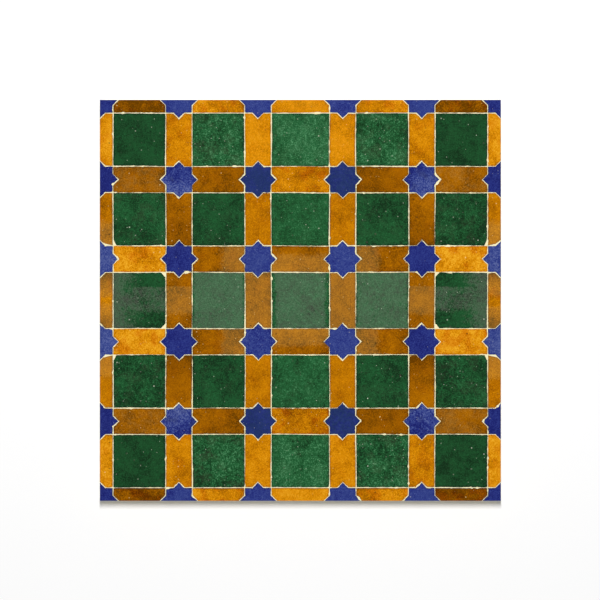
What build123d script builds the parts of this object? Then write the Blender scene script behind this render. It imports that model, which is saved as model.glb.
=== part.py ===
from build123d import *
from math import radians, tan
import os

# A square panel of Moroccan mosaic tile: green squares, amber strips and blue
# eight-pointed stars, cut by hand from glazed fired clay and cast into one bed of
# cream mortar, which also fills the joints.
#
# The panel lies on its back. +Z comes out of the glazed faces, +Y is the top of the
# pattern, and the origin is the middle of the flat back. Sizes are in millimetres.

# Cut sizes of the pieces, at the glazed face
square_width = 51.7
square_height = 52.2
middle_square_width = 57.2  # the middle column is cut wider to make up the panel
middle_square_height = 55.2  # and the middle row higher
strip_width = 25.4  # also the side of the two squares that make a star
joint_width = 0.9

# Section through the panel
piece_thickness = 11.0
mortar_behind = 9.0
joint_depth = 0.4  # how far the mortar lies under the glazed faces
side_lean = 8.0  # degrees that the chiselled sides lean in towards the back
arris = 0.3  # broken edge round each glazed face
back_arris = 0.8  # broken edge round the back of the cast bed

# Slips of the chisel at the two ends of the middle row
inner_nip_width = 4.4  # corners that the end squares of the row lost
inner_nip_height = 4.5
outer_nip_width = 2.8  # corners that the squares above and below those lost
outer_nip_height = 5.6
askew_cut = 13.5  # degrees, at an end of the half strips beside them

# Layout, counted from the top left as the panel is looked at
squares_each_way = 5
middle = squares_each_way // 2 + 1
numbers = range(1, squares_each_way + 1)
star_numbers = range(1, squares_each_way)

panel_thickness = mortar_behind + piece_thickness
arris_level = panel_thickness - arris
mortar_level = panel_thickness - joint_depth
piece_back = Plane.XY.offset(mortar_behind)


def square_sizes(plain, made_up):
    """Sides of the squares along one direction, the middle one being made up."""
    return [made_up if number == middle else plain for number in numbers]


def star_lines(sizes):
    """Lines through the star centres. The first and last are the panel's edges."""
    steps = [strip_width + 2 * joint_width + size for size in sizes]
    return [sum(steps[:count]) - sum(steps) / 2 for count in range(len(steps) + 1)]


def middles(lines):
    """Lines halfway between neighbouring star lines, through the squares' centres."""
    return [(low + high) / 2 for low, high in zip(lines, lines[1:])]


widths = square_sizes(square_width, middle_square_width)
heights = square_sizes(square_height, middle_square_height)
star_x = star_lines(widths)
star_y = [-line for line in star_lines(heights)]
square_x = middles(star_x)
square_y = middles(star_y)
panel_width = star_x[-1] - star_x[0]
panel_height = star_y[0] - star_y[-1]


def cut_sides(piece):
    """Raise an outline to the glazed face, lean its sides and break its edges."""
    extrude(amount=piece_thickness)
    draft(
        piece.faces().filter_by(Axis.Z, reverse=True),
        Plane.XY.offset(arris_level),
        -side_lean,
    )
    chamfer(piece.faces().sort_by(Axis.Z)[-1].edges(), length=arris)


def saw_to_panel():
    """Saw a piece that runs over the edge flush with the panel."""
    Box(
        panel_width,
        panel_height,
        panel_thickness,
        align=(Align.CENTER, Align.CENTER, Align.MIN),
        mode=Mode.INTERSECT,
    )


def nips(column, row):
    """What the square here lost: corners, as signs along X and Y, and the nips' sizes."""
    if column not in (1, squares_each_way):
        return []
    outward = -1 if column == 1 else 1
    if row == middle:
        return [(-outward, side_y, inner_nip_width, inner_nip_height) for side_y in (-1, 1)]
    if abs(row - middle) == 1:
        return [(outward, row - middle, outer_nip_width, outer_nip_height)]
    return []


def green_square(column, row):
    centre_x, centre_y = square_x[column - 1], square_y[row - 1]
    width, height = widths[column - 1], heights[row - 1]
    with BuildPart() as square:
        with BuildSketch(piece_back) as outline:
            with Locations((centre_x, centre_y)):
                Rectangle(width, height)
            for side_x, side_y, nip_width, nip_height in nips(column, row):
                lost = (centre_x + side_x * width / 2, centre_y + side_y * height / 2)
                chamfer(
                    outline.vertices().sort_by_distance(lost)[0],
                    length=nip_height,
                    length2=nip_width,
                    reference=outline.edges().filter_by(Axis.Y).sort_by_distance(lost)[0],
                )
        cut_sides(square)
    return square.part


def blue_star(line_x, line_y):
    """A star on one crossing of the star lines, sawn where it lies on an edge."""
    with BuildPart() as star:
        with BuildSketch(piece_back):
            with Locations((star_x[line_x], star_y[line_y])):
                Rectangle(strip_width, strip_width)
                Rectangle(strip_width, strip_width, rotation=45)
        cut_sides(star)
        if line_x in (0, squares_each_way) or line_y in (0, squares_each_way):
            saw_to_panel()
    return star.part


def amber_strip(centre, size, stars, on_edge, askew_corners=()):
    """A strip between two stars, its ends notched round their points.

    An end is askew where its cut starts in a right corner and runs in from there.
    """
    notch_side = strip_width + 2 * joint_width
    with BuildPart() as strip:
        with BuildSketch(piece_back):
            with Locations(centre):
                Rectangle(*size)
            with Locations(*stars):
                Rectangle(notch_side, notch_side, rotation=45, mode=Mode.SUBTRACT)
            for side_x, side_y in askew_corners:
                across = -side_x * size[0]
                lost = -side_y * size[0] * tan(radians(askew_cut))
                with Locations((centre[0] - across / 2, centre[1] + side_y * size[1] / 2)):
                    Polygon((0, 0), (across, 0), (across, lost), align=None, mode=Mode.SUBTRACT)
        cut_sides(strip)
        if on_edge:
            saw_to_panel()
    return strip.part


def upright_strip(line_x, row):
    """A strip on a star line, between the squares of one row."""
    x = star_x[line_x]
    on_edge = line_x in (0, squares_each_way)
    inward = 1 if line_x == 0 else -1
    beside_middle = abs(row - middle) == 1
    return amber_strip(
        centre=(x, square_y[row - 1]),
        size=(strip_width, heights[row - 1]),
        stars=[(x, star_y[row - 1]), (x, star_y[row])],
        on_edge=on_edge,
        askew_corners=[(inward, row - middle)] if on_edge and beside_middle else [],
    )


def level_strip(column, line_y):
    """A strip on a star line, between the squares of one column."""
    y = star_y[line_y]
    return amber_strip(
        centre=(square_x[column - 1], y),
        size=(widths[column - 1], strip_width),
        stars=[(star_x[column - 1], y), (star_x[column], y)],
        on_edge=line_y in (0, squares_each_way),
    )


def lay_pieces():
    """Every cut piece of the panel, as lists under the names of their nodes."""
    last = squares_each_way
    laid = {}
    for row in numbers:
        for column in numbers:
            laid[f"green_square_r{row}_c{column}"] = [green_square(column, row)]
    for row in star_numbers:
        for column in star_numbers:
            laid[f"blue_star_r{row}_c{column}"] = [blue_star(column, row)]
    for row in numbers:
        laid[f"amber_upright_strips_row_{row}"] = [upright_strip(n, row) for n in star_numbers]
    for row in star_numbers:
        laid[f"amber_level_strips_row_{row}"] = [level_strip(n, row) for n in numbers]
    laid["amber_edge_strips_top"] = [level_strip(n, 0) for n in numbers]
    laid["amber_edge_strips_bottom"] = [level_strip(n, last) for n in numbers]
    laid["amber_edge_strips_left"] = [upright_strip(0, n) for n in numbers]
    laid["amber_edge_strips_right"] = [upright_strip(last, n) for n in numbers]
    laid["blue_half_stars_top"] = [blue_star(n, 0) for n in star_numbers]
    laid["blue_half_stars_bottom"] = [blue_star(n, last) for n in star_numbers]
    laid["blue_half_stars_left"] = [blue_star(0, n) for n in star_numbers]
    laid["blue_half_stars_right"] = [blue_star(last, n) for n in star_numbers]
    laid["blue_quarter_stars"] = [blue_star(x, y) for x in (0, last) for y in (0, last)]
    return laid


def mortar_bed(pieces):
    """The cast bed, with a seat for every piece and a web of mortar in the joints."""
    with BuildPart() as bed:
        with BuildSketch():
            Rectangle(panel_width, panel_height)
        extrude(amount=mortar_level)
        chamfer(bed.faces().sort_by(Axis.Z)[0].edges(), length=back_arris)
        add(pieces, mode=Mode.SUBTRACT)
    return bed.part


def write(part, name):
    part.label = name
    export_step(part, f"parts/{name}.step")


os.makedirs("parts", exist_ok=True)
laid_pieces = lay_pieces()
for name, group in laid_pieces.items():
    with BuildPart() as node:
        add(group)
    write(node.part, name)

all_pieces = [piece for group in laid_pieces.values() for piece in group]
write(mortar_bed(all_pieces), "mortar_bed")

print(f"panel {panel_width:.1f} x {panel_height:.1f} x {panel_thickness:.1f} mm")
print(f"{len(all_pieces)} cut pieces in {len(laid_pieces)} nodes, and the mortar bed")
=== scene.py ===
# %% [markdown]
# # Dressing a panel of Moroccan mosaic tile
#
# The object is a square panel of zellige: green squares, amber strips and blue stars, cut by
# hand from glazed fired clay and cast into a bed of cream mortar. The plain solids already
# have the right sizes and places. This lesson gives them what the chisel, the kiln and the
# trowel leave behind: nibbled edges, rippled glaze, pinholes, and sandy mortar in the joints.
#
# The frame is loaded first, and its box gives the panel's size and the level of its faces.

# %% Load the plain solids
import math
import random

import bmesh
import bpy
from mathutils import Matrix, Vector, kdtree, noise


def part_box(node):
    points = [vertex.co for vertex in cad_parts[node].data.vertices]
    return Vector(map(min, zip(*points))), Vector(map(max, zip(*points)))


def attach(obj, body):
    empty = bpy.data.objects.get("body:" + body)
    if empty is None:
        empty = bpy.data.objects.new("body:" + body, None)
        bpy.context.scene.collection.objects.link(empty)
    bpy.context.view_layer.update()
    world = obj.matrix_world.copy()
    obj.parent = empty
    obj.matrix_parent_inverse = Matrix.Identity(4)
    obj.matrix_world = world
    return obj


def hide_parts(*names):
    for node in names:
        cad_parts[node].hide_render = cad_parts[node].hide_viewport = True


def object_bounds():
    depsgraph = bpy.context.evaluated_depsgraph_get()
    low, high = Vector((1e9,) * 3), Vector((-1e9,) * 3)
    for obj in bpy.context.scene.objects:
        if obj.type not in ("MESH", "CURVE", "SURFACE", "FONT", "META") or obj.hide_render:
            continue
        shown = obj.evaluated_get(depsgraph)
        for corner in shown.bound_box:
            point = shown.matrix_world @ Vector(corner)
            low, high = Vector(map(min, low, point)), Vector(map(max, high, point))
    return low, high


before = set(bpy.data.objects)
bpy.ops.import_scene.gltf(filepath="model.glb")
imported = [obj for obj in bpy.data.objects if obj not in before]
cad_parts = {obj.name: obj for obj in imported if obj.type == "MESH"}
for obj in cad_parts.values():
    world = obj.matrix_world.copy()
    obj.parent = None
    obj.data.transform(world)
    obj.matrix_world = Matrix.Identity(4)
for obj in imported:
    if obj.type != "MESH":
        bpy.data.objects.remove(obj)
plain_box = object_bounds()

mm = 0.001
plain_low, plain_high = plain_box
half_panel = plain_high.x
face_level = plain_high.z
mortar_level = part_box("mortar_bed")[1].z
print("panel", [round(size / mm, 1) for size in plain_high - plain_low], "mm")
print("the mortar lies", round((face_level - mortar_level) / mm, 2), "mm under the faces")

# %% [markdown]
# ## Camera
#
# The photograph looks straight down on the panel and shows no perspective, so the lens is
# long. A long lens is better here than an orthographic camera, because views from other
# sides then still look natural. Its height follows from the panel's width in the picture.

# %% Look straight down
photo_size = 600.0
panel_left_px = 99.85
panel_right_px = 500.85
pixels_per_metre = (panel_right_px - panel_left_px) / (2 * half_panel)
off_centre_px = (panel_left_px + panel_right_px) / 2 - photo_size / 2
camera_data = bpy.data.cameras.new("overhead")
camera_data.lens = 200.0
camera_data.sensor_width = 36.0
camera = bpy.data.objects.new("overhead", camera_data)
camera_height = photo_size / pixels_per_metre * camera_data.lens / camera_data.sensor_width
camera.location = (
    -off_centre_px / pixels_per_metre,
    off_centre_px / pixels_per_metre,
    face_level + camera_height,
)
bpy.context.scene.collection.objects.link(camera)
bpy.context.scene.camera = camera
bpy.context.scene.view_settings.view_transform = "Standard"
print("camera", round(camera_height, 2), "m above the glazed faces")

# %% [markdown]
# ## Light, floor and background
#
# The photograph has one short shadow, dark against the bottom edge and gone after 10 mm, and
# none on the other sides. So the lamp is a strip light: long in Y, which softens that shadow,
# narrow in X, and hung high and a little beyond the top edge. It leaves no highlight in the
# glaze, as through a polarising filter. The sky gives the rest, so that a colour renders about
# as it is written. The pale floor glows a little for the camera alone. A dark card over the
# lens, such as photographers use for glossy ware, keeps the glaze deep.

# %% Node helpers
def srgb(red, green, blue):
    """A colour given as screen values from 0 to 255, as the shaders want it."""
    def linear(value):
        value /= 255.0
        return value / 12.92 if value <= 0.04045 else ((value + 0.055) / 1.055) ** 2.4
    return (linear(red), linear(green), linear(blue), 1.0)


def node(tree, kind, **settings):
    """A new node. Plain names set its own fields; the rest is wired by link and put."""
    made = tree.nodes.new(kind)
    for field, value in settings.items():
        setattr(made, field, value)
    return made


def put(tree, socket, value):
    """Give an input a number or colour, or wire an output to it."""
    if isinstance(value, bpy.types.NodeSocket):
        tree.links.new(value, socket)
    else:
        socket.default_value = value


def maths(tree, operation, *values, clamp=False):
    """The output of one Math node."""
    made = node(tree, "ShaderNodeMath", operation=operation, use_clamp=clamp)
    for socket, value in zip(made.inputs, values):
        put(tree, socket, value)
    return made.outputs[0]


def seen_or_mirrored(tree):
    """1 for rays from the camera, reflections and glass, and 0 for the light itself."""
    path = node(tree, "ShaderNodeLightPath")
    straight = maths(tree, "MAXIMUM", path.outputs["Is Camera Ray"], path.outputs["Is Glossy Ray"])
    return maths(tree, "MAXIMUM", straight, path.outputs["Is Transmission Ray"])


# %% Strip light and sky
sky_share = 0.2
strip_distance = 3.0
strip_tilt = math.radians(14)
strip_data = bpy.data.lights.new("strip_light", "AREA")
strip_data.shape = "RECTANGLE"
strip_data.size = 0.16
strip_data.size_y = 0.9
strip_data.energy = (math.pi * strip_distance) ** 2 * (1 - sky_share) / math.cos(strip_tilt)
strip_light = bpy.data.objects.new("strip_light", strip_data)
strip_light.location = (0, strip_distance * math.sin(strip_tilt), strip_distance * math.cos(strip_tilt))
strip_light.rotation_euler = (-strip_tilt, 0, 0)
strip_light.visible_glossy = False
bpy.context.scene.collection.objects.link(strip_light)

world = bpy.data.worlds.new("white_studio")
world.use_nodes = True
bpy.context.scene.world = world
sky = world.node_tree
background = sky.nodes["Background"]
background.inputs["Color"].default_value = (1, 1, 1, 1)
sky_extra = maths(sky, "MULTIPLY", seen_or_mirrored(sky), 1 - sky_share)
put(sky, background.inputs["Strength"], maths(sky, "ADD", sky_extra, sky_share))


# %% Floor and dark card
def square_sheet(name, side, height):
    """A flat square of the studio, facing up."""
    work = bmesh.new()
    bmesh.ops.create_grid(work, x_segments=1, y_segments=1, size=side / 2)
    bmesh.ops.translate(work, verts=work.verts, vec=(0, 0, height))
    mesh = bpy.data.meshes.new(name)
    work.to_mesh(mesh)
    work.free()
    sheet = bpy.data.objects.new(name, mesh)
    bpy.context.scene.collection.objects.link(sheet)
    return sheet


def new_material(name):
    """A material with a Principled shader, its tree and that shader."""
    material = bpy.data.materials.new(name)
    material.use_nodes = True
    tree = material.node_tree
    return material, tree, tree.nodes["Principled BSDF"]


floor_side = 40.0
floor_height = -0.1 * mm
floor = square_sheet("floor", floor_side, floor_height)
floor_white, tree, shader = new_material("floor_white")
shader.inputs["Base Color"].default_value = (0.96, 0.96, 0.96, 1)
shader.inputs["Roughness"].default_value = 1.0
shader.inputs["Specular IOR Level"].default_value = 0.0
shader.inputs["Emission Color"].default_value = (1, 1, 1, 1)
floor_glow = 0.09
glow = maths(tree, "MULTIPLY", seen_or_mirrored(tree), floor_glow)
put(tree, shader.inputs["Emission Strength"], glow)
floor.data.materials.append(floor_white)

card_side = 3.2
card_above_camera = 0.4
card = square_sheet("dark_card", card_side, camera_height + card_above_camera)
card_black, tree, shader = new_material("card_black")
shader.inputs["Base Color"].default_value = (0, 0, 0, 1)
shader.inputs["Specular IOR Level"].default_value = 0.0
card.data.materials.append(card_black)
card.visible_camera = False
card.visible_diffuse = False
card.visible_shadow = False

# %% [markdown]
# ## Glaze
#
# A transparent coloured glaze is darker where it lies thicker. So each glaze is one scale of
# colours, from thin and pale to thick and dark, and most else only says how deep the glaze
# is: the batch that the piece was cut from, the clouds and mottles in it, and the scuffs that
# wore it thin. The same scale also darkens a narrow band along each edge. Over that lie stains
# from the clay, smoke from the kiln, pale flecks and dark nicks. All three glazes share one group
# for these patterns. The piece's own values come from attributes on its mesh.

# %% Patterns on a surface
def new_group(name, inputs, outputs):
    """A node group with named inputs and outputs, and its two end nodes."""
    tree = bpy.data.node_groups.new(name, "ShaderNodeTree")
    for socket, default in inputs.items():
        made = tree.interface.new_socket(socket, in_out="INPUT", socket_type="NodeSocketFloat")
        made.default_value = default
    for socket in outputs:
        tree.interface.new_socket(socket, in_out="OUTPUT", socket_type="NodeSocketFloat")
    return tree, node(tree, "NodeGroupInput").outputs, node(tree, "NodeGroupOutput").inputs


def on_piece(tree, name):
    """The value that a piece's mesh carries under that name."""
    return node(tree, "ShaderNodeAttribute", attribute_name=name).outputs["Fac"]


def drawn_out(tree, stretch, turn=0.0):
    """Object coordinates in which a pattern comes out longer, after a turn about Z."""
    made = node(tree, "ShaderNodeMapping", vector_type="TEXTURE")
    put(tree, made.inputs["Vector"], node(tree, "ShaderNodeTexCoord").outputs["Object"])
    made.inputs["Rotation"].default_value = (0, 0, turn)
    made.inputs["Scale"].default_value = stretch
    return made.outputs["Vector"]


def speckle(tree, size, detail=2.0, roughness=0.5, seed=0.0, stretch=(1, 1, 1), turn=0.0):
    """Noise of that grain size over the surface, taken from -0.5 to 0.5 or so."""
    made = node(tree, "ShaderNodeTexNoise", noise_dimensions="4D")
    put(tree, made.inputs["Vector"], drawn_out(tree, stretch, turn))
    made.inputs["Scale"].default_value = 1.0 / size
    made.inputs["Detail"].default_value = detail
    made.inputs["Roughness"].default_value = roughness
    put(tree, made.inputs["W"], seed)
    return maths(tree, "SUBTRACT", made.outputs["Fac"], 0.5)


def step_up(tree, value, start, end):
    """A soft step from 0 to 1 as the value goes from start to end."""
    made = node(tree, "ShaderNodeMapRange", interpolation_type="SMOOTHSTEP")
    put(tree, made.inputs["Value"], value)
    made.inputs["From Min"].default_value = start
    made.inputs["From Max"].default_value = end
    return made.outputs["Result"]


def dots(tree, spacing, radius, share, dimensions="2D"):
    """Round dots, each of its own strength: cells that far apart, of which a share has one."""
    cells = node(tree, "ShaderNodeTexVoronoi", feature="F1", voronoi_dimensions=dimensions)
    put(tree, cells.inputs["Vector"], node(tree, "ShaderNodeTexCoord").outputs["Object"])
    cells.inputs["Scale"].default_value = 1.0 / spacing
    own = node(tree, "ShaderNodeSeparateColor")
    put(tree, own.inputs[0], cells.outputs["Color"])
    kept = maths(tree, "LESS_THAN", own.outputs[0], share)
    round_dot = step_up(tree, cells.outputs["Distance"], radius / spacing, 0.4 * radius / spacing)
    strength = maths(tree, "MULTIPLY", own.outputs[1], own.outputs[1])
    return maths(tree, "MULTIPLY", maths(tree, "MULTIPLY", kept, round_dot), strength)


# %% The shared glaze group
glaze_inputs = {"Clouds": 0.6, "Mottles": 0.8, "Grain": 0.8, "Rim": 0.3, "Flecks": 1.0, "Nicks": 0.0}
glaze_outputs = ("Depth", "Smoke", "Stain", "Flecks", "Nicks", "Height")
glaze_group, given, out = new_group("glaze_depth", glaze_inputs, glaze_outputs)
tree = glaze_group
seed = on_piece(tree, "seed")
clouds = speckle(tree, 17 * mm, detail=2.0, seed=seed)
mottles = speckle(tree, 3.4 * mm, detail=3.0, roughness=0.6, seed=seed)
grain = speckle(tree, 1.1 * mm, detail=2.0, roughness=0.6, seed=seed)
restless = maths(tree, "ADD", on_piece(tree, "mottled"), 0.5)
restless = maths(tree, "MULTIPLY_ADD", clouds, 1.5, restless)

depth = on_piece(tree, "tone")
for pattern, amount in ((clouds, "Clouds"), (mottles, "Mottles"), (grain, "Grain")):
    strength = maths(tree, "MULTIPLY", given[amount], restless)
    depth = maths(tree, "MULTIPLY_ADD", pattern, strength, depth)
# A narrow band along each edge is made deeper, and so darker, by an uneven amount.
uneven = maths(tree, "MULTIPLY_ADD", speckle(tree, 11 * mm, seed=seed), 2.5, 1.0, clamp=True)
rim = maths(tree, "MULTIPLY", on_piece(tree, "rim"), uneven)
depth = maths(tree, "MULTIPLY_ADD", rim, given["Rim"], depth)
scratches = step_up(tree, speckle(tree, 1.1 * mm, stretch=(9, 1, 1), turn=math.radians(38)), 0.14, 0.24)
worn = step_up(tree, speckle(tree, 12 * mm, seed=seed), 0.12, 0.2)
scuffs = maths(tree, "MULTIPLY", maths(tree, "MULTIPLY", scratches, worn), restless)
put(tree, out["Depth"], maths(tree, "MULTIPLY_ADD", scuffs, -0.3, depth))

veil = on_piece(tree, "veil")
drifts = speckle(tree, 14 * mm, detail=3.0, seed=maths(tree, "ADD", seed, 5.0))
certain = maths(tree, "ABSOLUTE", maths(tree, "MULTIPLY_ADD", veil, 2.0, -1.0))
drifting = maths(tree, "MULTIPLY_ADD", certain, -1.1, 1.1)
smoky = maths(tree, "MULTIPLY_ADD", drifts, maths(tree, "MAXIMUM", drifting, 0.0), veil)
smoky = maths(tree, "MULTIPLY_ADD", mottles, 1.1, smoky)
smoky = maths(tree, "MULTIPLY_ADD", grain, -1.1, smoky)
smoke_grain = maths(tree, "MULTIPLY_ADD", grain, -1.4, 1.0)
put(tree, out["Smoke"], maths(tree, "MULTIPLY", step_up(tree, smoky, 0.25, 0.85), smoke_grain))
blots = step_up(tree, speckle(tree, 11 * mm, seed=seed), -0.02, 0.14)
stained = maths(tree, "POWER", on_piece(tree, "mottled"), 2.0)
put(tree, out["Stain"], maths(tree, "MULTIPLY", blots, stained))

crowded = maths(tree, "MULTIPLY_ADD", clouds, 5.0, 1.0, clamp=True)
crowded = maths(tree, "MULTIPLY", crowded, restless)
big_dots = dots(tree, 6.1 * mm, 0.85 * mm, maths(tree, "MULTIPLY", crowded, 0.045))
small_dots = dots(tree, 2.7 * mm, 0.5 * mm, maths(tree, "MULTIPLY", crowded, 0.05))
flecks = maths(tree, "MAXIMUM", big_dots, small_dots)
put(tree, out["Flecks"], maths(tree, "MULTIPLY", flecks, given["Flecks"]))
nicks = maths(tree, "MULTIPLY", dots(tree, 8.3 * mm, 1.1 * mm, 0.1), given["Nicks"])
put(tree, out["Nicks"], nicks)
pitted = maths(tree, "MULTIPLY", maths(tree, "MAXIMUM", flecks, nicks), -1.0)
put(tree, out["Height"], maths(tree, "MULTIPLY_ADD", mottles, 0.35, pitted))


# %% Three glazes
def mix_colour(tree, share, first, second, blend="MIX"):
    """The second colour laid over the first by that share."""
    made = node(tree, "ShaderNodeMix", data_type="RGBA", blend_type=blend)
    put(tree, made.inputs["Factor"], share)
    put(tree, made.inputs["A"], first)
    put(tree, made.inputs["B"], second)
    return made.outputs["Result"]


def colour_scale(tree, place, colours):
    """Evenly spaced colours, read at a place from 0 to 1."""
    made = node(tree, "ShaderNodeValToRGB")
    put(tree, made.inputs["Fac"], place)
    stops = made.color_ramp.elements
    stops[0].color = srgb(*colours[0])
    stops[-1].color = srgb(*colours[-1])
    for number, colour in enumerate(colours[1:-1], start=1):
        stops.new(number / (len(colours) - 1)).color = srgb(*colour)
    return made.outputs["Color"]


def bumped(tree, shader, height, strength, distance):
    """Wire a height to the shader's normal."""
    made = node(tree, "ShaderNodeBump")
    made.inputs["Strength"].default_value = strength
    made.inputs["Distance"].default_value = distance
    put(tree, made.inputs["Height"], height)
    put(tree, shader.inputs["Normal"], made.outputs["Normal"])


def glaze_material(name, thin_to_thick, over, **amounts):
    """A glaze with its own scale of colours, and over it a colour, share and blend for each mask."""
    material, tree, shader = new_material(name)
    group = node(tree, "ShaderNodeGroup", node_tree=glaze_group)
    for socket, amount in amounts.items():
        group.inputs[socket].default_value = amount
    colour = colour_scale(tree, group.outputs["Depth"], thin_to_thick)
    for mask, (layer, share, blend) in over.items():
        part = maths(tree, "MULTIPLY", group.outputs[mask], share)
        colour = mix_colour(tree, part, colour, srgb(*layer), blend)
    put(tree, shader.inputs["Base Color"], colour)
    rough = maths(tree, "MULTIPLY_ADD", group.outputs["Flecks"], 0.4, 0.16)
    put(tree, shader.inputs["Roughness"], rough)
    shader.inputs["Specular IOR Level"].default_value = 0.38
    bumped(tree, shader, group.outputs["Height"], strength=0.6, distance=0.12 * mm)
    return material


green_glaze = glaze_material(
    "bottle_green_glaze",
    [(92, 152, 106), (50, 112, 68), (34, 91, 50), (31, 76, 42), (21, 50, 28)],
    over={
        "Stain": ((86, 84, 68), 0.11, "MIX"),
        "Smoke": ((255, 240, 235), 0.052, "MIX"),
        "Flecks": ((198, 206, 184), 1.0, "MIX"),
        "Nicks": ((96, 82, 78), 0.8, "MIX"),
    },
    Clouds=0.8,
    Mottles=0.85,
    Grain=1.6,
    Rim=0.34,
    Nicks=0.6,
)
amber_glaze = glaze_material(
    "amber_glaze",
    [(248, 182, 44), (227, 146, 5), (189, 116, 0), (153, 90, 0), (104, 61, 0)],
    over={
        "Stain": ((234, 198, 130), 1.0, "MULTIPLY"),
        "Smoke": ((255, 248, 150), 0.05, "MIX"),
        "Flecks": ((252, 214, 140), 0.8, "MIX"),
        "Nicks": ((74, 46, 18), 1.0, "MIX"),
    },
    Clouds=0.7,
    Mottles=0.38,
    Grain=1.05,
    Rim=0.2,
    Nicks=0.8,
)
blue_glaze = glaze_material(
    "blue_glaze",
    [(96, 108, 164), (66, 80, 146), (50, 64, 136), (40, 49, 126), (28, 35, 108)],
    over={
        "Stain": ((58, 62, 92), 0.3, "MIX"),
        "Smoke": ((38, 58, 92), 0.62, "MIX"),
        "Flecks": ((168, 166, 172), 0.8, "MIX"),
    },
    Clouds=0.7,
    Mottles=0.9,
    Grain=2.1,
    Rim=0.25,
)

# %% [markdown]
# ## Clay and mortar
#
# On the sawn edges of the panel the buff clay shows. The mortar is cream, fine and sandy,
# with a few air holes where it was cast, and it fills the nips in the pieces too. The holes
# are shallow pits in the bump, and their darker tint is painted shade. Both are dull and
# grainy and carry the marks of the saw, so they share one group for grain, voids and height.

# %% Grainy stuffs
grit_inputs = {"Coarse": 0.5, "Fine": 0.5}
grit_group, given, out = new_group("grit", grit_inputs, ("Tint", "Voids", "Height"))
tree = grit_group
coarse = speckle(tree, 7 * mm, detail=4.0, roughness=0.6)
fine = speckle(tree, 0.7 * mm, detail=3.0, roughness=0.6)
saw_marks = speckle(tree, 0.5 * mm, detail=1.0, stretch=(40, 40, 1))
tint = maths(tree, "MULTIPLY_ADD", coarse, given["Coarse"], 0.5)
tint = maths(tree, "MULTIPLY_ADD", saw_marks, 0.3, tint)
put(tree, out["Tint"], maths(tree, "MULTIPLY_ADD", fine, given["Fine"], tint))
voids = dots(tree, 6 * mm, 1.1 * mm, 0.3, dimensions="3D")
put(tree, out["Voids"], voids)
raised = maths(tree, "MULTIPLY_ADD", voids, -3.0, fine)
put(tree, out["Height"], maths(tree, "ADD", raised, saw_marks))


def grainy_material(name, dark, pale, hole_shade_colour, grain_depth, **amounts):
    """A dull stuff between two tints, with its air holes in a darker tint that paints the shade in them.
    """
    material, tree, shader = new_material(name)
    group = node(tree, "ShaderNodeGroup", node_tree=grit_group)
    for socket, amount in amounts.items():
        group.inputs[socket].default_value = amount
    colour = mix_colour(tree, group.outputs["Tint"], srgb(*dark), srgb(*pale))
    # The holes get a darker tint: painted shade inside them.
    colour = mix_colour(tree, group.outputs["Voids"], colour, srgb(*hole_shade_colour))
    put(tree, shader.inputs["Base Color"], colour)
    shader.inputs["Roughness"].default_value = 0.92
    shader.inputs["Specular IOR Level"].default_value = 0.3
    bumped(tree, shader, group.outputs["Height"], strength=0.8, distance=grain_depth)
    return material


cream_mortar = grainy_material(
    "cream_mortar",
    dark=(247, 231, 170),
    pale=(254, 254, 224),
    hole_shade_colour=(206, 184, 136),
    grain_depth=0.1 * mm,
    Coarse=0.8,
    Fine=0.9,
)
buff_clay = grainy_material(
    "buff_clay",
    dark=(190, 150, 104),
    pale=(236, 206, 162),
    hole_shade_colour=(138, 100, 68),
    grain_depth=0.2 * mm,
    Coarse=0.8,
    Fine=1.0,
)
print("materials", [material.name for material in bpy.data.materials])

# %% [markdown]
# ## The hand in it
#
# Nothing in a zellige panel is quite straight. Each piece is laid a little askew, the whole
# pattern wanders, the chisel nibbles the edges, the glaze ripples, and each piece sits a hair
# higher or lower than its neighbours. All of it comes from smooth noise or from numbers
# seeded by a piece's place, so it is the same on every run. The sawn edges stay straight.

# %% Small movements
pattern_wander = 0.5 * mm
pattern_wave = 46 * mm
turn_limit = math.radians(0.42)
slip_limit = 0.16 * mm
sawn_zone = 14 * mm
nibble = 0.5 * mm
short_nibble_wave = 1.7 * mm
long_nibble_wave = 6 * mm
tight_fit = 0.16 * mm
most_outward = 0.3 * mm
nip_depth = 2.2 * mm
nip_wave = 4.3 * mm
nip_threshold = 0.38
ripple_depth = 0.1 * mm
long_ripple_wave = 13 * mm
short_ripple_wave = 4 * mm
tilt_depth = 0.05 * mm
tilt_wave = 60 * mm


def wave(place, size, seed=0.0):
    """Smooth noise from about -1 to 1 with waves of that size."""
    return noise.noise(Vector((place.x / size, place.y / size, seed)))


def with_the_pattern(place):
    """Where the wandering pattern puts a point. It never leaves or enters a sawn edge."""
    inside_x = 1 - (place.x / half_panel) ** 8
    inside_y = 1 - (place.y / half_panel) ** 8
    wander_x = pattern_wander * inside_x * wave(place, pattern_wave, 2.3)
    wander_y = pattern_wander * inside_y * wave(place, pattern_wave, 7.9)
    return place + Vector((wander_x, wander_y, 0))


class Laying:
    """How one piece was laid: its middle, its seed, its turn and its slip."""

    def __init__(self, centre):
        own = random.Random(f"{round(centre.x / mm)} {round(centre.y / mm)}")
        sawn = max(abs(centre.x), abs(centre.y)) > half_panel - sawn_zone
        loose = 0.0 if sawn else 1.0
        self.centre = centre
        self.seed = own.uniform(0, 90)
        self.turn = own.uniform(-1, 1) * turn_limit * loose
        self.slip = Vector((own.uniform(-1, 1), own.uniform(-1, 1), 0)) * slip_limit * loose

    def moved(self, place):
        """Where a point of the piece ends up."""
        arm = place - self.centre
        return with_the_pattern(place + self.slip + self.turn * Vector((-arm.y, arm.x, 0)))


def chipped(place):
    """How far in from its cut line the glaze broke off at a place on an edge."""
    short = 0.6 * wave(place, short_nibble_wave, 4.1)
    even = nibble * (short + 0.8 * wave(place, long_nibble_wave, 5.3))
    nip = max(0.0, wave(place, nip_wave, 9.7) - nip_threshold) * nip_depth
    return max(-most_outward, even - tight_fit) + nip


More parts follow.
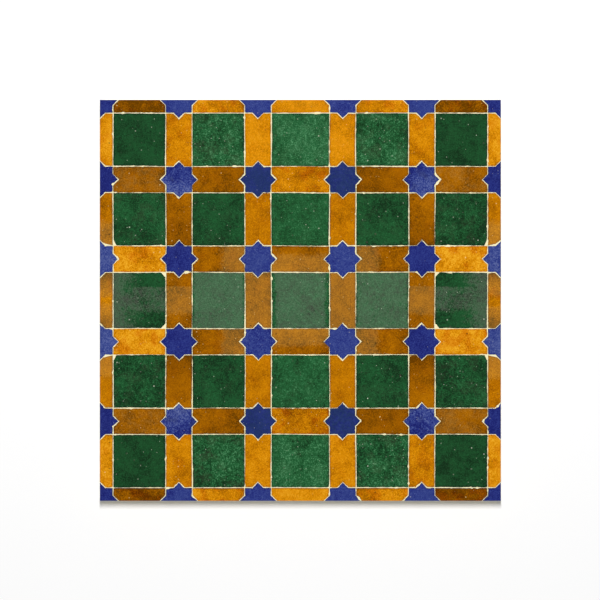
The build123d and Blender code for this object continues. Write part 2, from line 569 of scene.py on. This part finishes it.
def sunk_below_face(place, seed):
    """How far the rippled glaze lies under the highest level of the panel."""
    tilt = tilt_depth * (1 + wave(place, tilt_wave, seed))
    short = 0.3 * wave(place, short_ripple_wave, seed)
    ripple = 1 + wave(place, long_ripple_wave, seed) + short
    return tilt + 0.5 * ripple_depth * ripple


# %% [markdown]
# ## Cutting the pieces
#
# A piece starts as a copy of its plain solid, so its outline, its leaning sides and its saw
# cut are right from the start. The copy's loose triangles are merged first. Then bisect_plane
# slices the upper part with lines a millimetre apart, which gives the face enough points to
# ripple and the edge enough points to be nibbled, and leaves the hidden back plain.

# %% Copy, merge and slice
pitch = 1.0 * mm
hair = 0.001 * mm


def merged_copy(name):
    """A bmesh of a plain node, with its triangles merged into whole faces."""
    work = bmesh.new()
    work.from_mesh(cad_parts[name].data)
    bmesh.ops.remove_doubles(work, verts=work.verts, dist=hair)
    bmesh.ops.dissolve_limit(work, angle_limit=math.radians(0.2), verts=work.verts, edges=work.edges)
    return work


def in_order(elements):
    """Elements of one kind, sorted by their indices, so that each run is the same."""
    return sorted(elements, key=lambda element: element.index)


def with_corners(faces):
    """Faces with their edges and vertices, as the bisect operator wants them."""
    corners = {vertex for face in faces for vertex in face.verts}
    edges = {edge for face in faces for edge in face.edges}
    return [*in_order(corners), *in_order(edges), *faces]


def slice_both_ways(work, faces, spacing):
    """Cut faces along lines that far apart, across X and then across Y."""
    for element in (work.verts, work.edges, work.faces):
        element.index_update()
    shape = with_corners(faces)
    for axis in (0, 1):
        across = Vector((1 - axis, axis, 0))
        ends = [vertex.co[axis] for vertex in work.verts]
        count = math.ceil((max(ends) - min(ends)) / spacing)
        for step in range(count):
            line = across * (min(ends) + (step + 0.5) * spacing)
            cut = bmesh.ops.bisect_plane(work, geom=shape, dist=hair, plane_co=line, plane_no=across)
            shape = cut["geom"]


def slice_level(work, height):
    """Cut the whole piece at one height."""
    everything = [*work.verts, *work.edges, *work.faces]
    bmesh.ops.bisect_plane(work, geom=everything, dist=hair, plane_co=(0, 0, height), plane_no=(0, 0, 1))


def on_saw_cut(place):
    """True for a point on one of the panel's four sawn sides."""
    return max(abs(place.x), abs(place.y)) > half_panel - 2 * hair


def layings_of(work):
    """The laying of each separate solid, ordered from top left to bottom right."""
    left = set(work.verts)
    centres = []
    while left:
        group = {left.pop()}
        border = list(group)
        while border:
            near = {edge.other_vert(vertex) for vertex in border for edge in vertex.link_edges}
            border = list(near - group)
            group |= near
        left -= group
        xs = [vertex.co.x for vertex in group]
        ys = [vertex.co.y for vertex in group]
        centres.append(Vector(((min(xs) + max(xs)) / 2, (min(ys) + max(ys)) / 2, 0)))
    centres.sort(key=lambda centre: (round(-centre.y, 3), round(centre.x, 3)))
    return [Laying(centre) for centre in centres]


# %% [markdown]
# The edge is worked where the small chamfer of the solid is. Its lower line is the cut line
# of the glaze, and its upper line is the rim of the flat face. Both are moved in by what
# chipped off, or a little out, and the face near the rim follows by less and less, so that no
# facet folds over. Where the edge broke off deeper, the mortar has filled the nip.

# %% Nibble the edges
glaze_thickness = 0.7 * mm
edge_reach = 3.2 * mm
crisper_rim = 0.22 * mm
filled_beyond = 0.3 * mm
stuffs = {"glaze": 0, "clay": 1, "mortar": 2}

# How far up a facet faces, as the Z of its normal
leaning = 0.3
nearly_level = 0.95
level = 0.98


def on_face(vertex):
    """True for a point of the flat glazed face or its rim."""
    return vertex.co.z > face_level - hair


def inwards(vertex, slopes):
    """The level direction from an edge point into its piece."""
    out = Vector((0, 0, 0))
    for face in vertex.link_faces:
        if face in slopes:
            out += Vector((face.normal.x, face.normal.y, 0)).normalized()
    return -out.normalized()


def work_the_edges(work):
    """Move rim and cut line by what chipped off. Returns how near the face's points are to it."""
    slopes = {face for face in work.faces if leaning < face.normal.z < nearly_level}
    edge_points = {vertex for face in slopes for vertex in face.verts}
    rim = [vertex for vertex in work.verts if vertex in edge_points and on_face(vertex)]
    cut_line = [vertex for vertex in work.verts if vertex in edge_points and not on_face(vertex)]
    rim_lines = kdtree.KDTree(len(rim))
    for number, vertex in enumerate(rim):
        rim_lines.insert(vertex.co, number)
    rim_lines.balance()
    rim_moves = [inwards(vertex, slopes) * (chipped(vertex.co) - crisper_rim) for vertex in rim]
    moves = {vertex: inwards(vertex, slopes) * chipped(vertex.co) for vertex in cut_line}
    nearness = {}
    for vertex in work.verts:
        if on_face(vertex):
            number, distance = rim_lines.find(vertex.co)[1:]
            nearness[vertex] = max(0.0, 1 - distance / edge_reach)
            moves[vertex] = rim_moves[number] * nearness[vertex]
    limit = half_panel - 2 * hair
    for vertex, move in moves.items():
        for axis in (0, 1):
            if abs(vertex.co[axis]) < limit:
                vertex.co[axis] = max(-limit, min(limit, vertex.co[axis] + move[axis]))
    return nearness


def sort_faces(work):
    """Say for each facet whether it is glaze, clay or the mortar that clings to the edge."""
    for face in work.faces:
        spot = face.calc_center_median()
        if on_saw_cut(spot):
            stuff = "glaze" if spot.z > face_level - glaze_thickness else "clay"
        elif face.normal.z > level:
            stuff = "glaze"
        elif face.normal.z > leaning:
            stuff = "glaze" if chipped(spot) < filled_beyond else "mortar"
        else:
            stuff = "mortar" if spot.z > mortar_level else "clay"
        face.material_index = stuffs[stuff]
        face.smooth = face.normal.z > leaning


# %% Ripple the glaze and lay the piece
rim_rounding = 0.07 * mm
rim_gain = 2.2
rim_offset = 1.2
outline_points = []


def glazed_piece(name, glaze, recipes):
    """The worked copy of one node. There is one recipe for each of its solids."""
    work = merged_copy(name)
    layers = {key: work.verts.layers.float.new(key) for key in ("tone", "veil", "mottled", "rim", "seed")}
    layings = layings_of(work)
    slice_level(work, mortar_level)
    slice_level(work, face_level - glaze_thickness)
    upper = [face for face in work.faces if min(v.co.z for v in face.verts) > mortar_level - hair]
    slice_both_ways(work, upper, pitch)
    work.normal_update()
    sort_faces(work)
    owners = {}
    for vertex in work.verts:
        distances = [(laying.centre - vertex.co).xy.length for laying in layings]
        owners[vertex] = distances.index(min(distances))
        if mortar_level - hair < vertex.co.z < face_level - hair:
            outline_points.append((vertex.co.xy.to_3d(), layings[owners[vertex]]))
    nearness = work_the_edges(work)
    for vertex in work.verts:
        laying = layings[owners[vertex]]
        recipe = recipes[owners[vertex]]
        near = nearness.get(vertex, 0.0)
        inner = inwardness(vertex.co, laying.centre)
        vertex[layers["tone"]] = recipe.tone + recipe.run.dot(inner)
        vertex[layers["veil"]] = veil_at(recipe.veil, vertex.co, laying.centre)
        vertex[layers["mottled"]] = recipe.mottled
        vertex[layers["rim"]] = max(0.0, near * rim_gain - rim_offset)
        vertex[layers["seed"]] = laying.seed
        if vertex.co.z > mortar_level + hair:
            sunk = sunk_below_face(vertex.co, laying.seed) + rim_rounding * near ** 3
            share = sunk / (face_level - mortar_level)
            vertex.co.z = mortar_level + (vertex.co.z - mortar_level) * (1 - share)
        vertex.co = laying.moved(vertex.co)
    return finished_piece(work, name, (glaze, buff_clay, cream_mortar))


def finished_piece(work, name, materials):
    """Turn the bmesh into the object that stands for its node."""
    work.normal_update()
    mesh = bpy.data.meshes.new("laid_" + name)
    work.to_mesh(mesh)
    work.free()
    for material in materials:
        mesh.materials.append(material)
    piece = bpy.data.objects.new("laid_" + name, mesh)
    bpy.context.scene.collection.objects.link(piece)
    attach(piece, "root")
    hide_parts(name)
    return piece


# %% [markdown]
# ## Batches of glaze
#
# In the photograph the shades are not scattered at random. They repeat on both sides of the
# middle row and the middle column. So a piece's recipe follows from how far out it lies: the
# corners have the darkest greens, the outer rows have honey strips that turn to toffee
# further in, and the whole middle row looks veiled, as if smoke had touched it in the kiln.

# %% Recipes
class Recipe:
    """How one piece was glazed: depth, its run towards the middle, veil and mottling."""

    def __init__(self, tone, run_x=0.0, run_y=0.0, veil="none", mottled=0.4):
        self.tone = tone
        self.run = Vector((run_x, run_y))
        self.veil = veil
        self.mottled = mottled


middle = 3
outermost = 2
edge_line = 3


def square_recipe(column_out, row_out):
    """Green: darkest at the corners, lightest at the top and bottom of the middle column."""
    if row_out == 0:
        return Recipe(0.74, veil="outer_x") if column_out == outermost else Recipe(0.52, veil="inset")
    if row_out == outermost:
        return {
            0: Recipe(0.4, mottled=0.7),
            1: Recipe(0.57, mottled=1.1),
            2: Recipe(0.78, mottled=0.3),
        }[column_out]
    return {
        0: Recipe(0.52, mottled=0.6),
        1: Recipe(0.72, mottled=0.6),
        2: Recipe(0.75, mottled=0.9),
    }[column_out]


def level_strip_recipe(column_out, line_out):
    """Amber strips that lie along the rows of stars."""
    if line_out == edge_line:
        return {
            0: Recipe(0.27),
            1: Recipe(0.4, run_x=0.14, mottled=0.8),
            2: Recipe(0.9, mottled=0.9),
        }[column_out]
    if line_out == 2:
        return {
            0: Recipe(0.45, mottled=0.9),
            1: Recipe(0.77, run_x=0.06),
            2: Recipe(0.73, veil="patchy"),
        }[column_out]
    return {
        0: Recipe(0.68, run_y=-0.1, veil="inner_half"),
        1: Recipe(0.74, veil="inner_x", mottled=0.5),
        2: Recipe(0.26, mottled=0.8),
    }[column_out]


def upright_strip_recipe(line_out, row_out):
    """Amber strips that stand between the squares."""
    if row_out == outermost:
        return {
            1: Recipe(0.32),
            2: Recipe(0.39, mottled=0.6),
            3: Recipe(0.25, mottled=0.6),
        }[line_out]
    if row_out == 1:
        return {
            1: Recipe(0.5),
            2: Recipe(0.75, run_y=0.14),
            3: Recipe(0.51, run_y=0.05, veil="inner_y"),
        }[line_out]
    return {
        1: Recipe(0.69, veil="all"),
        2: Recipe(0.7, veil="band"),
        3: Recipe(0.4, run_y=-0.42, veil="ends", mottled=0.7),
    }[line_out]


def star_recipe(line_x_out, line_y_out):
    """Blue: cobalt, with one slate star in each quarter and one that fired pale in a corner."""
    if line_x_out == edge_line:
        return Recipe({1: 0.28, 2: 0.82, 3: 0.77}[line_y_out])
    if line_y_out == edge_line:
        return Recipe(0.53)
    if line_y_out == 2:
        pale_corner = Recipe(0.5, run_x=0.16, run_y=-0.5, mottled=1.0)
        return pale_corner if line_x_out == 2 else Recipe(0.76, veil="cloudy")
    return Recipe(0.77) if line_x_out == 2 else Recipe(0.5)


def inwardness(place, centre):
    """Along X and Y: from -1 at a piece's outer end to 1 at its end nearest the middle."""
    reach = 26 * mm
    both = [(abs(centre[axis]) - abs(place[axis])) / reach for axis in (0, 1)]
    return Vector([max(-1.0, min(1.0, along)) for along in both])


def from_0_to_1(value):
    """The value, kept between 0 and 1."""
    return max(0.0, min(1.0, value))


def veil_at(kind, place, centre):
    """How much smoke lies over a point of a piece."""
    inner = inwardness(place, centre)
    band = from_0_to_1(min((14.5 * mm - place.y) / (1.5 * mm), (17 * mm + place.y) / (9 * mm)))
    return {
        "none": 0.1,
        "patchy": 0.45,
        "cloudy": 0.66,
        "all": 1.1,
        "ends": 1.1 * from_0_to_1(0.1 - 2.2 * inner.y),
        "band": 0.2 + 0.9 * band,
        "inset": 0.84 * from_0_to_1((29 * mm - abs(place.x - centre.x)) / (6 * mm)),
        "inner_x": 1.1 * from_0_to_1(0.2 + 2 * inner.x),
        "inner_y": 1.1 * from_0_to_1(0.2 + 2 * inner.y),
        "inner_half": 1.1 * from_0_to_1(0.9 + 2.6 * inner.y),
        "outer_x": max(0.64 * band, 0.9 * from_0_to_1(0.3 - 0.8 * inner.x)),
    }[kind]


# %% [markdown]
# ## Laying the pieces
#
# The nodes of the frame are named by what they hold, row by row. Each loop below walks one
# kind of piece and hands its recipes over in the order in which the solids lie.

# %% Lay every piece
rows = range(1, 6)
star_rows = range(1, 5)


def line_out(number):
    """How many star lines out from the middle of the panel one lies, counted from 0 to 5."""
    return max(middle - number, number - 2)


laid = []
for row in rows:
    row_out = abs(row - middle)
    for column in rows:
        recipe = square_recipe(abs(column - middle), row_out)
        laid.append(glazed_piece(f"green_square_r{row}_c{column}", green_glaze, [recipe]))
    recipes = [upright_strip_recipe(line_out(line), row_out) for line in star_rows]
    laid.append(glazed_piece(f"amber_upright_strips_row_{row}", amber_glaze, recipes))
for row in star_rows:
    for column in star_rows:
        recipe = star_recipe(line_out(column), line_out(row))
        laid.append(glazed_piece(f"blue_star_r{row}_c{column}", blue_glaze, [recipe]))
    recipes = [level_strip_recipe(abs(column - middle), line_out(row)) for column in rows]
    laid.append(glazed_piece(f"amber_level_strips_row_{row}", amber_glaze, recipes))

# %% Lay the edges
for side in ("top", "bottom"):
    recipes = [level_strip_recipe(abs(column - middle), edge_line) for column in rows]
    laid.append(glazed_piece(f"amber_edge_strips_{side}", amber_glaze, recipes))
    recipes = [star_recipe(line_out(line), edge_line) for line in star_rows]
    laid.append(glazed_piece(f"blue_half_stars_{side}", blue_glaze, recipes))
for side in ("left", "right"):
    recipes = [upright_strip_recipe(edge_line, abs(row - middle)) for row in rows]
    laid.append(glazed_piece(f"amber_edge_strips_{side}", amber_glaze, recipes))
    recipes = [star_recipe(edge_line, line_out(line)) for line in star_rows]
    laid.append(glazed_piece(f"blue_half_stars_{side}", blue_glaze, recipes))
laid.append(glazed_piece("blue_quarter_stars", blue_glaze, [star_recipe(edge_line, edge_line)] * 4))
print("laid", len(laid), "nodes with", sum(len(piece.data.polygons) for piece in laid), "faces")

# %% [markdown]
# ## The mortar
#
# The bed is copied and merged the same way. Its joints are narrow ribbons, so an inset gives
# each one a middle line, and slices across give it points to be lumpy. The middle stands a
# little proud, as a wiped joint does between glazed edges that the mortar doesn't stick to.
# Each wall of a seat moves with the piece that lies against it, which a KD-tree finds.

# %% Rough joints
joint_pitch = 1.6 * mm
joint_inset = 0.28 * mm
joint_crown = 0.17 * mm
joint_roughness = 0.08 * mm
small_lump_wave = 2.1 * mm
large_lump_wave = 9 * mm
back_edge = 2 * mm
bed_top_facing = 0.9
crown_facing = 0.5


def is_crown(vertex):
    """True for a point of a joint that touches no wall of a seat."""
    return all(face.normal.z > crown_facing for face in vertex.link_faces)


def mortar_piece(name):
    """The worked copy of the bed."""
    work = merged_copy(name)
    tops = [face for face in work.faces if face.normal.z > bed_top_facing]
    ribbons = [face for face in tops if face.calc_center_median().z > mortar_level - hair]
    inset = bmesh.ops.inset_region(work, faces=ribbons, thickness=joint_inset, use_even_offset=True)
    slice_both_ways(work, [*ribbons, *inset["faces"]], joint_pitch)
    work.normal_update()
    neighbours = kdtree.KDTree(len(outline_points))
    for number, point in enumerate(outline_points):
        neighbours.insert(point[0], number)
    neighbours.balance()
    for vertex in work.verts:
        if vertex.co.z > mortar_level - hair and not on_saw_cut(vertex.co):
            small = wave(vertex.co, small_lump_wave, 1.7)
            lumps = small + 0.6 * wave(vertex.co, large_lump_wave, 6.1)
            lift = joint_crown if is_crown(vertex) else 0.0
            vertex.co.z += lift + joint_roughness * lumps
        if vertex.co.z > back_edge:
            number = neighbours.find(vertex.co.xy.to_3d())[1]
            vertex.co = outline_points[number][1].moved(vertex.co)
    for face in work.faces:
        face.smooth = face.normal.z > crown_facing
    return finished_piece(work, name, (cream_mortar,))


bed = mortar_piece("mortar_bed")
print("bed with", len(bed.data.polygons), "faces")
